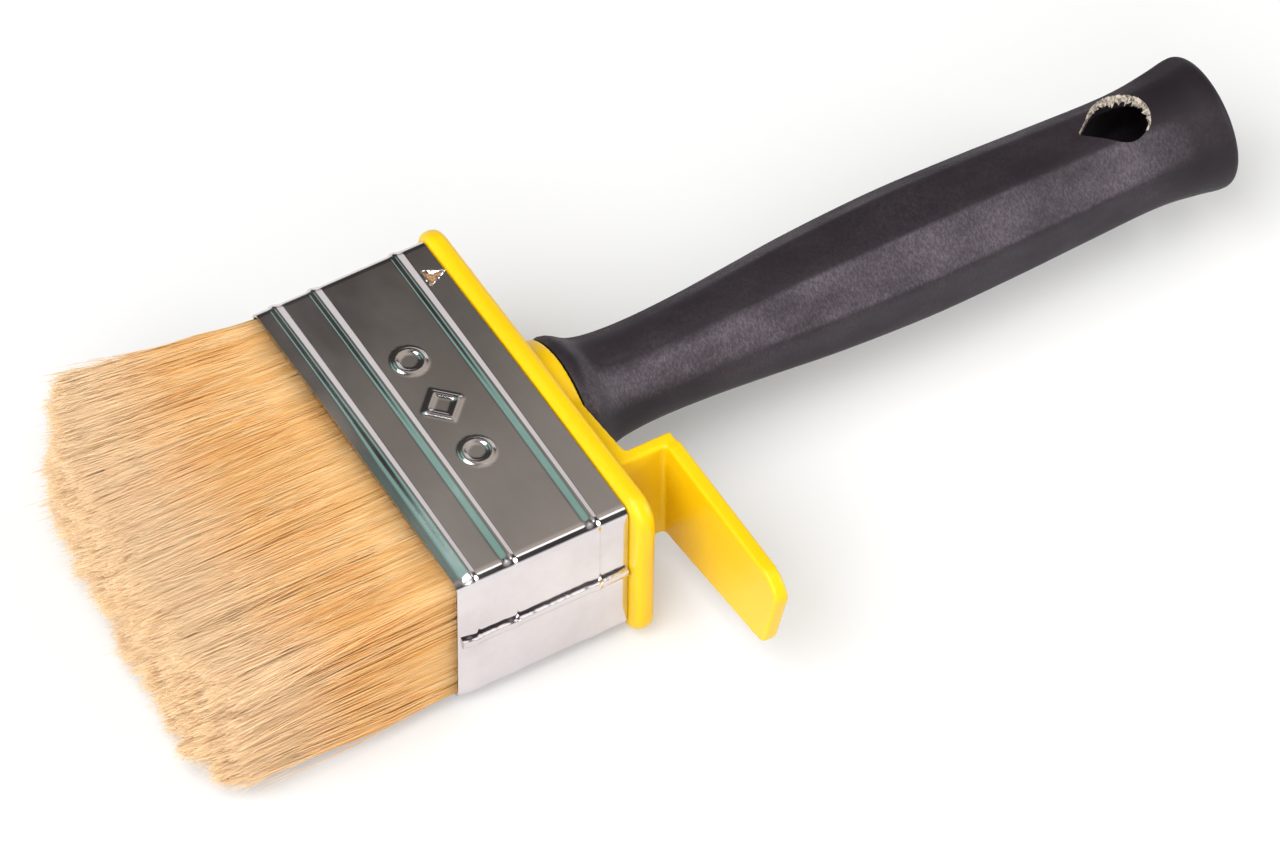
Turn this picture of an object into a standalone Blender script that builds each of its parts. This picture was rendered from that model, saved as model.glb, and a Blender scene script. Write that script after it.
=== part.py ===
"""A flat block brush: a hollow plastic handle, a moulded head with a bucket hook, a tinplate
ferrule, and three rows of bristle set in resin. The rows flex about the mouth of the ferrule.

The brush is modelled about its own mouth: X runs from the mouth towards the handle, Y across the
width and Z through the thickness. One empty then puts it on the ground, centred on its outline.
"""

import math

import bmesh
import bpy

MM = 0.001
GAP = 0.3

# Ferrule: a bent band of tinplate, all in millimetres
FERRULE_WIDTH = 70.0
FERRULE_THICKNESS = 30.0
FERRULE_LENGTH = 32.6
SHEET = 0.45
FERRULE_CORNER = 2.5
BEAD_PLACES = (3.3, 10.8, 26.7)
BEAD_HEIGHT = 0.4
BEAD_HALF_WIDTH = 1.3
SEAM_TOP = 0.6
SEAM_HEIGHT = 2.3
SEAM_PROUD = 0.75
STAKE_X = 30.2
STAKE_Y = 26.4
STAKE_SIZE = 3.8
STAKE_DEPTH = 2.4

# Head moulding: rim plate, plug, boss, spigot and bucket hook
PLATE_FRONT = 32.9
PLATE_BACK = 36.6
PLATE_WIDTH = 76.2
PLATE_THICKNESS = 33.4
PLATE_CORNER = 5.0
PLATE_ROUNDING = 0.8
PLUG_FRONT = 22.0
PLUG_WALL = 2.2
PLUG_FLOOR = 31.4
PLUG_RIB = 1.6
POCKETS = 3
BOSS_RADIUS = 12.3
BOSS_FACE = 40.0
SPIGOT_END = 64.0
SPIGOT_RADIUS = 6.2
SPIGOT_TIP_RADIUS = 5.5
HOOK_ARM_Y = -23.0
HOOK_THICKNESS = 2.5
HOOK_INNER = 46.2
HOOK_TOP = 13.3
HOOK_ROOT_BOTTOM = -9.8
HOOK_TIP_BOTTOM = -5.6
HOOK_TIP_Y = -60.5
HOOK_SLANT = 4.0
HOOK_CHAMFER = 2.6
HOOK_CORNER = 1.6

# Handle: its axis stands a little off the middle of the head
AXIS_Y = 0.8
AXIS_Z = 1.5
HANDLE_END = 170.0
HANDLE_WALL = 2.2
HANDLE_SIDES = 32
CAVITY_END = 163.0
# Along the axis: place, half of the width across flats, and how eight-sided the section is
HANDLE_STATIONS = (
    (40.3, 11.8, 0.0),
    (41.6, 12.1, 0.0),
    (43.2, 11.4, 0.0),
    (45.2, 10.2, 0.0),
    (49.0, 9.3, 0.0),
    (56.0, 8.9, 0.0),
    (66.0, 9.2, 0.1),
    (78.0, 10.0, 0.5),
    (90.0, 10.8, 0.9),
    (108.0, 11.5, 1.0),
    (124.0, 11.3, 1.0),
    (140.0, 10.8, 0.9),
    (152.0, 10.6, 0.6),
    (158.0, 10.9, 0.3),
    (164.0, 11.7, 0.0),
    (168.0, 12.3, 0.0),
    (169.4, 11.8, 0.0),
    (170.0, 10.4, 0.0),
)
HOLE_POINT = 143.6
HOLE_CENTRE = 152.0
HOLE_RADIUS = 5.2

# Bristles: three rows with a spacer strip between each two, their butts held in resin
ROWS = ("bottom", "middle", "top")
PACK_WIDTH = FERRULE_WIDTH - 2 * SHEET - 2 * GAP
PACK_THICKNESS = FERRULE_THICKNESS - 2 * SHEET - 2 * GAP
SPACER_THICKNESS = 3.0
SPACER_START = 1.0
RESIN_START = 12.0
RESIN_FLOOR = 18.0
RESIN_END = PLUG_FRONT - GAP
RESIN_SIDE = 1.2
BUTT_THICKNESS = (PACK_THICKNESS - 2 * SPACER_THICKNESS - 4 * GAP) / 3
BUTT_PITCH = BUTT_THICKNESS + SPACER_THICKNESS + 2 * GAP
BUTT_START = 0.3
FREE_LENGTH = 46.0
TIP_DOME = 7.0
TIP_SIDE_DOME = 3.0
MOUTH_HALF_WIDTH = 34.0
MOUTH_HALF_THICKNESS = 14.1
TIP_HALF_WIDTH = 37.3
TIP_HALF_THICKNESS = 15.3
FLEX_DEG = 20.0
ROOT_GAP = 0.8
ROOT_SLOPE = math.tan(math.radians(FLEX_DEG + 3.0))
ROW_CUTS = 7



def clear_scene():
    for obj in list(bpy.data.objects):
        bpy.data.objects.remove(obj, do_unlink=True)


def new_collection(name, shown):
    collection = bpy.data.collections.new(name)
    bpy.context.scene.collection.children.link(collection)
    collection.hide_render = not shown
    return collection


def material(name, colour, roughness, metallic=0.0):
    made = bpy.data.materials.new(name)
    made.use_nodes = True
    shader = made.node_tree.nodes["Principled BSDF"]
    shader.inputs["Base Color"].default_value = (*colour, 1.0)
    shader.inputs["Roughness"].default_value = roughness
    shader.inputs["Metallic"].default_value = metallic
    made.diffuse_color = (*colour, 1.0)
    return made


def to_object(bm, name, collection, parent=None, finish=None):
    """Turns a mesh built in millimetres into an object in metres."""
    bmesh.ops.scale(bm, vec=(MM, MM, MM), verts=bm.verts)
    bmesh.ops.recalc_face_normals(bm, faces=bm.faces)
    mesh = bpy.data.meshes.new(name)
    bm.to_mesh(mesh)
    bm.free()
    obj = bpy.data.objects.new(name, mesh)
    collection.objects.link(obj)
    obj.parent = parent
    if finish:
        mesh.materials.append(finish)
    return obj


def boolean(target, other, operation):
    modifier = target.modifiers.new(f"{operation.lower()} {other.name}", "BOOLEAN")
    modifier.operation = operation
    modifier.solver = "EXACT"
    modifier.object = other


def helper(bm, name, cutters, parent):
    obj = to_object(bm, name, cutters, parent)
    obj.hide_render = True
    obj.display_type = "WIRE"
    return obj


def box(x0, x1, y0, y1, z0, z1):
    bm = bmesh.new()
    bmesh.ops.create_cube(bm, size=1.0)
    bmesh.ops.scale(bm, vec=(x1 - x0, y1 - y0, z1 - z0), verts=bm.verts)
    bmesh.ops.translate(bm, vec=((x0 + x1) / 2, (y0 + y1) / 2, (z0 + z1) / 2), verts=bm.verts)
    return bm


def cone_along_x(x0, x1, radius0, radius1, sides):
    """A cylinder or cone on the handle's axis, from x0 to x1."""
    bm = bmesh.new()
    bmesh.ops.create_cone(
        bm, cap_ends=True, segments=sides, radius1=radius0, radius2=radius1, depth=x1 - x0
    )
    for vert in bm.verts:
        x, y, z = vert.co
        vert.co = ((x0 + x1) / 2 + z, AXIS_Y + y, AXIS_Z + x)
    return bm


def prism(outline, axis, low, high):
    """An outline of (a, b) points pulled from low to high along x, or along z."""
    bm = bmesh.new()
    place = {"x": lambda a, b: (low, a, b), "z": lambda a, b: (a, b, low)}[axis]
    face = bm.faces.new([bm.verts.new(place(a, b)) for a, b in outline])
    pulled = bmesh.ops.extrude_face_region(bm, geom=[face])["geom"]
    move = (high - low, 0, 0) if axis == "x" else (0, 0, high - low)
    bmesh.ops.translate(bm, vec=move, verts=[g for g in pulled if isinstance(g, bmesh.types.BMVert)])
    return bm


def round_corners(corners, radius, steps=4):
    """The outline of a polygon with each corner cut to an arc-like curve of about this radius."""
    outline = []
    for i, (x, y) in enumerate(corners):
        ends = []
        for other in (corners[i - 1], corners[(i + 1) % len(corners)]):
            length = math.hypot(other[0] - x, other[1] - y)
            ends.append((x + (other[0] - x) * radius / length, y + (other[1] - y) * radius / length))
        for k in range(steps + 1):
            t = k / steps
            weights = ((1 - t) ** 2, 2 * t * (1 - t), t**2)
            points = (ends[0], (x, y), ends[1])
            outline.append(tuple(sum(w * p[c] for w, p in zip(weights, points)) for c in (0, 1)))
    return outline


def rounded_rectangle(half_y, half_z, radius, steps=4):
    """Points (y, z) round a rectangle with arcs at its corners."""
    outline = []
    for quarter, (sy, sz) in enumerate(((1, 1), (-1, 1), (-1, -1), (1, -1))):
        for k in range(steps + 1):
            angle = math.radians(90 * (quarter + k / steps))
            y = sy * (half_y - radius) + radius * math.cos(angle)
            z = sz * (half_z - radius) + radius * math.sin(angle)
            outline.append((y, z))
    return outline


def loft(rings, closed=False):
    """Joins rings of (x, y, z) points. The ends are capped, or the last ring meets the first."""
    bm = bmesh.new()
    made = [[bm.verts.new(point) for point in ring] for ring in rings]
    pairs = list(zip(made, made[1:]))
    if closed:
        pairs.append((made[-1], made[0]))
    for first, second in pairs:
        for i in range(len(first)):
            j = (i + 1) % len(first)
            bm.faces.new((first[i], first[j], second[j], second[i]))
    if not closed:
        bm.faces.new(made[0])
        bm.faces.new(made[-1])
    return bm


def bead_offset(x):
    """How far the sheet stands out at x: a half sine over each bead."""
    for place in BEAD_PLACES:
        if abs(x - place) < BEAD_HALF_WIDTH:
            return BEAD_HEIGHT * math.cos(math.pi / 2 * (x - place) / BEAD_HALF_WIDTH)
    return 0.0


def ferrule_stations():
    places = {0.0, FERRULE_LENGTH}
    for place in BEAD_PLACES:
        places.update(place + BEAD_HALF_WIDTH * k / 2 for k in range(-2, 3))
    return sorted(places)


def ferrule_ring(x, inset):
    out = bead_offset(x) - inset
    half_y = FERRULE_WIDTH / 2 + out
    half_z = FERRULE_THICKNESS / 2 + out
    return [(x, y, z) for y, z in rounded_rectangle(half_y, half_z, FERRULE_CORNER + out)]


def stake_outline(size):
    """The pierced triangle in the top face, seen from above; its point is towards the plate."""
    half = size / 2
    return [(STAKE_X - half, STAKE_Y - half), (STAKE_X + half, STAKE_Y), (STAKE_X - half, STAKE_Y + half)]


def make_ferrule(parts, cutters, root):
    tin = material("tinplate", (0.55, 0.53, 0.51), 0.18, 1.0)
    places = ferrule_stations()
    rings = [ferrule_ring(x, 0.0) for x in places]
    rings += [ferrule_ring(x, SHEET) for x in reversed(places)]
    ferrule = to_object(loft(rings, closed=True), "ferrule", parts, root, tin)
    side = -FERRULE_WIDTH / 2
    seam = box(
        0.7, FERRULE_LENGTH - 0.3, side - SEAM_PROUD, side + 0.2, SEAM_TOP - SEAM_HEIGHT, SEAM_TOP
    )
    boolean(ferrule, helper(seam, "seam_fold", cutters, root), "UNION")
    top = FERRULE_THICKNESS / 2
    hole = prism(stake_outline(STAKE_SIZE), "z", top - 1.5, top + 1.5)
    boolean(ferrule, helper(hole, "stake_hole", cutters, root), "DIFFERENCE")
    edge = STAKE_X - STAKE_SIZE / 2
    tab = box(edge - 0.2, edge + SHEET, STAKE_Y - 1.3, STAKE_Y + 1.3, top - STAKE_DEPTH, top - 0.1)
    boolean(ferrule, helper(tab, "stake_tab", cutters, root), "UNION")


def hook_blade_outline():
    """The blade seen along the handle: level on top, its lower edge rising to a slanted end."""
    root = HOOK_ARM_Y - HOOK_THICKNESS / 2
    corners = [
        (HOOK_TIP_Y, HOOK_TOP - HOOK_CHAMFER),
        (HOOK_TIP_Y + HOOK_SLANT, HOOK_TIP_BOTTOM),
        (root + 0.8, HOOK_ROOT_BOTTOM),
        (root + 0.8, HOOK_TOP),
        (HOOK_TIP_Y + HOOK_CHAMFER, HOOK_TOP),
    ]
    return round_corners(corners, HOOK_CORNER, 3)


def pad_outline():
    """The raised pad that joins the boss to the root of the hook."""
    far = HOOK_ARM_Y - HOOK_THICKNESS / 2
    return [
        (AXIS_Y, AXIS_Z + BOSS_RADIUS * 0.7),
        (far + 3.5, HOOK_TOP),
        (far, HOOK_TOP),
        (far, HOOK_ROOT_BOTTOM),
        (far + 3.5, HOOK_ROOT_BOTTOM),
        (AXIS_Y, AXIS_Z - BOSS_RADIUS * 0.7),
    ]


def ferrule_filling(x0, x1):
    """A block that fits inside the ferrule, round corners and all."""
    outline = rounded_rectangle(PACK_WIDTH / 2, PACK_THICKNESS / 2, FERRULE_CORNER - SHEET)
    return loft([[(x, y, z) for y, z in outline] for x in (x0, x1)])


def make_rim_plate(parts, root, finish):
    """The plate as rings that step inwards at both faces, which rounds its edges."""
    rings = []
    for x, inset in (
        (PLATE_FRONT, PLATE_ROUNDING),
        (PLATE_FRONT + 0.3, 0.3),
        (PLATE_FRONT + PLATE_ROUNDING, 0.0),
        (PLATE_BACK - PLATE_ROUNDING, 0.0),
        (PLATE_BACK - 0.3, 0.3),
        (PLATE_BACK, PLATE_ROUNDING),
    ):
        half_y = PLATE_WIDTH / 2 - inset
        half_z = PLATE_THICKNESS / 2 - inset
        rings.append([(x, y, z) for y, z in rounded_rectangle(half_y, half_z, PLATE_CORNER - inset)])
    return to_object(loft(rings), "head_moulding", parts, root, finish)


def make_head(parts, cutters, root):
    yellow = material("yellow plastic", (0.95, 0.72, 0.0), 0.35)
    head = make_rim_plate(parts, root, yellow)
    arm_back = HOOK_INNER + HOOK_THICKNESS
    arm_y = (HOOK_ARM_Y - HOOK_THICKNESS / 2, HOOK_ARM_Y + HOOK_THICKNESS / 2)
    added = {
        "plug": ferrule_filling(PLUG_FRONT, PLATE_FRONT + 1.0),
        "boss": cone_along_x(PLATE_BACK - 1.0, BOSS_FACE, BOSS_RADIUS, BOSS_RADIUS - 0.2, 48),
        "hook_pad": prism(pad_outline(), "x", PLATE_BACK - 0.7, BOSS_FACE - 0.4),
        "hook_arm": box(PLATE_BACK - 0.5, arm_back - 0.2, *arm_y, HOOK_ROOT_BOTTOM + 0.2, HOOK_TOP - 0.2),
        "hook_blade": prism(hook_blade_outline(), "x", HOOK_INNER, arm_back),
        "spigot": cone_along_x(BOSS_FACE - 1.0, SPIGOT_END, SPIGOT_RADIUS, SPIGOT_TIP_RADIUS, 24),
    }
    for name, bm in added.items():
        boolean(head, helper(bm, name, cutters, root), "UNION")
    cut_plug(head, cutters, root)


def cut_plug(head, cutters, root):
    """The plug's pockets, and the notch that the ferrule's tab bites into."""
    inner_width = PACK_WIDTH - 2 * PLUG_WALL
    inner_half = PACK_THICKNESS / 2 - PLUG_WALL
    pitch = (inner_width + PLUG_RIB) / POCKETS
    half = (pitch - PLUG_RIB) / 2
    for i in range(POCKETS):
        middle = pitch * (i - (POCKETS - 1) / 2)
        pocket = box(PLUG_FRONT - 1, PLUG_FLOOR, middle - half, middle + half, -inner_half, inner_half)
        boolean(head, helper(pocket, f"plug_pocket_{i + 1}", cutters, root), "DIFFERENCE")
    top = FERRULE_THICKNESS / 2
    edge = STAKE_X - STAKE_SIZE / 2
    notch = box(
        edge - 0.8, edge + 1.2, STAKE_Y - 1.8, STAKE_Y + 1.8, top - STAKE_DEPTH - GAP, top + 0.5
    )
    boolean(head, helper(notch, "stake_notch", cutters, root), "DIFFERENCE")


def smooth_between(a, b, t):
    eased = t * t * (3 - 2 * t)
    return a + (b - a) * eased


def handle_stations():
    """The named stations with one more, eased, in the middle of each long stretch."""
    rows = []
    for first, second in zip(HANDLE_STATIONS, HANDLE_STATIONS[1:]):
        rows.append(first)
        if second[0] - first[0] > 9.0:
            middle = (first[0] + second[0]) / 2
            rows.append((middle, *(smooth_between(a, b, 0.5) for a, b in zip(first[1:], second[1:]))))
    rows.append(HANDLE_STATIONS[-1])
    return rows


def handle_ring(x, half_flat, eightness, inset=0.0):
    ring = []
    for k in range(HANDLE_SIDES):
        angle = 2 * math.pi * k / HANDLE_SIDES
        off_flat = (angle + math.pi / 8) % (math.pi / 4) - math.pi / 8
        bulge = min(1 / math.cos(off_flat), 1.05) - 1
        radius = half_flat * (1 + eightness * bulge) - inset
        ring.append((x, AXIS_Y + radius * math.cos(angle), AXIS_Z + radius * math.sin(angle)))
    return ring


def make_handle(parts, cutters, root):
    black = material("black plastic", (0.035, 0.032, 0.036), 0.5)
    stations = handle_stations()
    rings = [handle_ring(*station) for station in reversed(stations)]
    inner = [s for s in stations if s[0] < CAVITY_END]
    rings += [handle_ring(*station, inset=HANDLE_WALL) for station in inner]
    last = inner[-1]
    rings.append(handle_ring(CAVITY_END, last[1] - 2.5, last[2], inset=HANDLE_WALL))
    handle = to_object(loft(rings), "handle", parts, root, black)
    outline = hole_outline()
    hole = prism(outline, "z", AXIS_Z - 20.0, AXIS_Z + 20.0)
    boolean(handle, helper(hole, "hanging_hole", cutters, root), "DIFFERENCE")


def hole_outline(steps=14):
    """A teardrop: a point towards the head, tangent lines, and a round end towards the tail."""
    reach = HOLE_CENTRE - HOLE_POINT
    start = math.acos(HOLE_RADIUS / reach)
    outline = [(HOLE_POINT, AXIS_Y)]
    for k in range(steps + 1):
        angle = math.pi - start - (2 * math.pi - 2 * start) * k / steps
        outline.append(
            (HOLE_CENTRE + HOLE_RADIUS * math.cos(angle), AXIS_Y + HOLE_RADIUS * math.sin(angle))
        )
    return outline


def make_resin(parts, cutters, root):
    amber = material("setting resin", (0.42, 0.27, 0.10), 0.3)
    half_y = PACK_WIDTH / 2
    resin = to_object(ferrule_filling(RESIN_START, RESIN_END), "setting_resin", parts, root, amber)
    for i, name in enumerate(ROWS):
        middle = BUTT_PITCH * (i - 1)
        half = BUTT_THICKNESS / 2 + GAP
        over = 1.0 * (i - 1)
        slot = box(
            RESIN_START - 1,
            RESIN_FLOOR,
            -half_y + RESIN_SIDE,
            half_y - RESIN_SIDE,
            middle - half + min(over, 0),
            middle + half + max(over, 0),
        )
        boolean(resin, helper(slot, f"resin_slot_{name}", cutters, root), "DIFFERENCE")


def ground_frame():
    """The middle of the brush's outline, on the lowest face of the rim plate."""
    hook_reach = min(y for y, z in hook_blade_outline())
    centre_x = (HANDLE_END - FREE_LENGTH) / 2
    centre_y = (PLATE_WIDTH / 2 + hook_reach) / 2
    return (centre_x, centre_y, -PLATE_THICKNESS / 2)


def make_spacers(parts, root):
    card = material("spacer board", (0.45, 0.33, 0.20), 0.8)
    half_y = PACK_WIDTH / 2 - 2.0
    for name, side in (("spacer_strip_lower", -1), ("spacer_strip_upper", 1)):
        middle = side * BUTT_PITCH / 2
        half_z = SPACER_THICKNESS / 2
        strip = box(SPACER_START, RESIN_START - GAP, -half_y, half_y, middle - half_z, middle + half_z)
        to_object(strip, name, parts, root, card)


def make_butts(parts, root, bristle):
    half_y = PACK_WIDTH / 2 - RESIN_SIDE - GAP
    half_z = BUTT_THICKNESS / 2
    for i, name in enumerate(ROWS):
        middle = BUTT_PITCH * (i - 1)
        row = box(BUTT_START, RESIN_FLOOR - GAP, -half_y, half_y, middle - half_z, middle + half_z)
        to_object(row, f"bristle_butts_{name}", parts, root, bristle)


def free_row_point(u, v, w, low, high):
    """Where a point of a unit block goes: u from root to tip, v across, w through the row."""
    mouth_z = low + (high - low) * w
    spread = TIP_HALF_THICKNESS / MOUTH_HALF_THICKNESS
    z = mouth_z * (1 + (spread - 1) * u)
    y = v * (MOUTH_HALF_WIDTH + (TIP_HALF_WIDTH - MOUTH_HALF_WIDTH) * u)
    root_x = -(ROOT_GAP + abs(mouth_z) * ROOT_SLOPE)
    dome = TIP_DOME * (mouth_z / MOUTH_HALF_THICKNESS) ** 2 + TIP_SIDE_DOME * v**4
    tip_x = -(FREE_LENGTH - dome)
    return (root_x + (tip_x - root_x) * u, y, z)


def make_free_rows(parts, flex_axis, bristle):
    """The part of each row outside the ferrule. Its root slopes back, so it clears the mouth."""
    depth = (2 * MOUTH_HALF_THICKNESS - 2 * GAP) / 3
    for i, name in enumerate(ROWS):
        low = -MOUTH_HALF_THICKNESS + i * (depth + GAP)
        bm = bmesh.new()
        bmesh.ops.create_cube(bm, size=1.0)
        bmesh.ops.subdivide_edges(bm, edges=bm.edges, cuts=ROW_CUTS, use_grid_fill=True)
        for vert in bm.verts:
            u, v, w = vert.co
            vert.co = free_row_point(u + 0.5, 2 * v, w + 0.5, low, low + depth)
        to_object(bm, f"bristle_row_{name}", parts, flex_axis, bristle)


def new_empty(name, parts, parent=None):
    empty = bpy.data.objects.new(name, None)
    empty.empty_display_size = 10 * MM
    parts.objects.link(empty)
    empty.parent = parent
    return empty


def shade(parts):
    for obj in parts.objects:
        if obj.type == "MESH":
            obj.data.shade_smooth()
            obj.data.set_sharp_from_angle(angle=math.radians(35))


def main():
    clear_scene()
    parts = new_collection("block_brush", True)
    cutters = new_collection("block_brush_cutters", False)
    root = new_empty("brush_frame", parts)
    root.location = [-c * MM for c in ground_frame()]
    flex_axis = new_empty("bristle_flex_axis", parts, root)
    make_handle(parts, cutters, root)
    make_head(parts, cutters, root)
    make_ferrule(parts, cutters, root)
    make_resin(parts, cutters, root)
    make_spacers(parts, root)
    bristle = material("hog bristle", (0.62, 0.44, 0.22), 0.6)
    make_butts(parts, root, bristle)
    make_free_rows(parts, flex_axis, bristle)
    shade(parts)


main()
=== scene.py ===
import math
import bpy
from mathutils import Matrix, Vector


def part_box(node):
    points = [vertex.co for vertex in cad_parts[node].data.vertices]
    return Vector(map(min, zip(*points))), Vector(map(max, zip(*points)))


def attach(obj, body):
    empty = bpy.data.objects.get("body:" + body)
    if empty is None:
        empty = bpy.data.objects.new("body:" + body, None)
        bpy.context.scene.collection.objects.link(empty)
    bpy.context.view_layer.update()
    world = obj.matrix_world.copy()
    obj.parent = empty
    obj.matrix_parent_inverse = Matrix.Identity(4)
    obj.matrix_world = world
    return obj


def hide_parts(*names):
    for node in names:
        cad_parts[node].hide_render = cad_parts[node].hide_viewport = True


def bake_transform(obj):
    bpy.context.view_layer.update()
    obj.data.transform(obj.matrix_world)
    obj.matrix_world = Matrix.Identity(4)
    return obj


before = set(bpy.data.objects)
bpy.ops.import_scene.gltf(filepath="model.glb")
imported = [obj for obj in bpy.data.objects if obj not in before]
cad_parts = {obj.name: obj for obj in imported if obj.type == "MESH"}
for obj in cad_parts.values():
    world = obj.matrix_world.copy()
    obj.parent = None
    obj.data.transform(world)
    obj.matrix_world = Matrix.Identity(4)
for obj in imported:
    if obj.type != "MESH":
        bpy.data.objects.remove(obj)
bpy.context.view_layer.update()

from types import SimpleNamespace

import bmesh
import bpy
import numpy as np
from mathutils import Matrix, Vector, noise

mm = 0.001

# Where the brush lies: x from the mouth of the ferrule to the handle, y and z from its middle
ferruleLow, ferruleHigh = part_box("ferrule")
resinLow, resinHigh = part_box("setting_resin")
mouthX = ferruleLow[0] / mm
middleY = (resinLow[1] + resinHigh[1]) / 2 / mm
middleZ = (resinLow[2] + resinHigh[2]) / 2 / mm


def at(x, y, z):
    return Vector(((x + mouthX) * mm, (y + middleY) * mm, (z + middleZ) * mm))


def addObject(name, data, finish=None):
    obj = bpy.data.objects.new(name, data)
    bpy.context.scene.collection.objects.link(obj)
    if finish:
        data.materials.append(finish)
    return obj


def meshFromBm(bm, name, place=True):
    # bm is in brush millimetres
    if place:
        for vert in bm.verts:
            vert.co = at(*vert.co)
    bmesh.ops.recalc_face_normals(bm, faces=bm.faces)
    mesh = bpy.data.meshes.new(name)
    bm.to_mesh(mesh)
    bm.free()
    return mesh


def pieceFrom(name, bm, finish=None, place=True):
    return addObject(name, meshFromBm(bm, name, place), finish)


def meshFromArrays(name, points, quads, triangles):
    # fast path for many thousand faces; points already in metres
    mesh = bpy.data.meshes.new(name)
    mesh.vertices.add(len(points))
    mesh.vertices.foreach_set("co", points.astype(np.float32).ravel())
    loops = np.concatenate([quads.ravel(), triangles.ravel()])
    starts = np.concatenate([np.arange(len(quads)) * 4, len(quads) * 4 + np.arange(len(triangles)) * 3])
    mesh.loops.add(len(loops))
    mesh.loops.foreach_set("vertex_index", loops.astype(np.int32))
    mesh.polygons.add(len(starts))
    mesh.polygons.foreach_set("loop_start", starts.astype(np.int32))
    mesh.update(calc_edges=True)
    mesh.validate()
    return mesh


def loft(rings, closed=False):
    bm = bmesh.new()
    made = [[bm.verts.new(p) for p in ring] for ring in rings]
    pairs = list(zip(made, made[1:]))
    if closed:
        pairs.append((made[-1], made[0]))
    for a, b in pairs:
        for i in range(len(a)):
            j = (i + 1) % len(a)
            bm.faces.new((a[i], a[j], b[j], b[i]))
    if not closed:
        bm.faces.new(made[0])
        bm.faces.new(made[-1])
    return bm


def roundedRectangle(halfY, halfZ, radius, steps=6, flats=(0, 0), normals=False):
    # flats adds points along the long and the short straight sides
    corners = ((1, 1), (-1, 1), (-1, -1), (1, -1))
    outline = []
    for quarter, (sy, sz) in enumerate(corners):
        for k in range(steps + 1):
            angle = math.radians(90 * (quarter + k / steps))
            ny, nz = math.cos(angle), math.sin(angle)
            cornerY, cornerZ = sy * (halfY - radius), sz * (halfZ - radius)
            outline.append((cornerY + radius * ny, cornerZ + radius * nz, ny, nz))
        lastY, lastZ, ny, nz = outline[-1]
        nextY, nextZ = corners[(quarter + 1) % 4]
        firstY = nextY * (halfY - radius) + radius * ny
        firstZ = nextZ * (halfZ - radius) + radius * nz
        count = flats[quarter % 2]
        for k in range(1, count + 1):
            t = k / (count + 1)
            outline.append((lastY + (firstY - lastY) * t, lastZ + (firstZ - lastZ) * t, ny, nz))
    return outline if normals else [(y, z) for y, z, _, _ in outline]


def prism(outline, axis, low, high):
    bm = bmesh.new()
    put = {"x": lambda a, b: (low, a, b), "z": lambda a, b: (a, b, low)}[axis]
    face = bm.faces.new([bm.verts.new(put(a, b)) for a, b in outline])
    pulled = bmesh.ops.extrude_face_region(bm, geom=[face])["geom"]
    move = (high - low, 0, 0) if axis == "x" else (0, 0, high - low)
    bmesh.ops.translate(bm, vec=move, verts=[g for g in pulled if isinstance(g, bmesh.types.BMVert)])
    return bm


def roundCorners(corners, radius, steps=6):
    outline = []
    for i, (x, y) in enumerate(corners):
        ends = []
        for other in (corners[i - 1], corners[(i + 1) % len(corners)]):
            length = math.hypot(other[0] - x, other[1] - y)
            ends.append((x + (other[0] - x) * radius / length, y + (other[1] - y) * radius / length))
        for k in range(steps + 1):
            t = k / steps
            weights = ((1 - t) ** 2, 2 * t * (1 - t), t**2)
            points = (ends[0], (x, y), ends[1])
            outline.append(tuple(sum(w * p[c] for w, p in zip(weights, points)) for c in (0, 1)))
    return outline


def applyModifiers(obj):
    graph = bpy.context.evaluated_depsgraph_get()
    done = bpy.data.meshes.new_from_object(obj.evaluated_get(graph))
    obj.modifiers.clear()
    obj.data = done


def combine(obj, bm, operation, name="tool"):
    # one exact Boolean, applied at once, with the tool thrown away
    tool = pieceFrom(name, bm)
    modifier = obj.modifiers.new(name, "BOOLEAN")
    modifier.operation = operation
    modifier.solver = "EXACT"
    modifier.object = tool
    applyModifiers(obj)
    mesh = tool.data
    bpy.data.objects.remove(tool)
    bpy.data.meshes.remove(mesh)


def smoothShade(obj, degrees=35):
    obj.data.shade_smooth()
    obj.data.set_sharp_from_angle(angle=math.radians(degrees))


def curveThrough(stations, x, column):
    # smooth value at x from rows of (place, value, ...), flat beyond the ends
    if x <= stations[0][0]:
        return stations[0][column]
    for i in range(len(stations) - 1):
        a, b = stations[i], stations[i + 1]
        if x <= b[0]:
            before = stations[max(i - 1, 0)]
            after = stations[min(i + 2, len(stations) - 1)]
            t = (x - a[0]) / (b[0] - a[0])
            width = b[0] - a[0]
            slopeA = (b[column] - before[column]) / max(b[0] - before[0], 1e-6)
            slopeB = (after[column] - a[column]) / max(after[0] - a[0], 1e-6)
            h00 = 2 * t**3 - 3 * t**2 + 1
            h10 = t**3 - 2 * t**2 + t
            h01 = -2 * t**3 + 3 * t**2
            h11 = t**3 - t**2
            return h00 * a[column] + h10 * width * slopeA + h01 * b[column] + h11 * width * slopeB
    return stations[-1][column]


def newFinish(name, baseColour, roughness, metallic=0.0):
    made = bpy.data.materials.new(name)
    made.use_nodes = True
    tree = made.node_tree
    shader = tree.nodes["Principled BSDF"]
    setInputs(shader, {"Base Color": (*baseColour, 1), "Roughness": roughness, "Metallic": metallic})
    made.diffuse_color = (*baseColour, 1)
    return made, tree, shader


def setInputs(node, values):
    for name, value in values.items():
        node.inputs[name].default_value = value


def coordinates(tree, scale=(1, 1, 1)):
    where = tree.nodes.new("ShaderNodeTexCoord")
    stretch = tree.nodes.new("ShaderNodeMapping")
    setInputs(stretch, {"Scale": scale})
    tree.links.new(where.outputs["Object"], stretch.inputs["Vector"])
    return stretch.outputs["Vector"]


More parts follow.
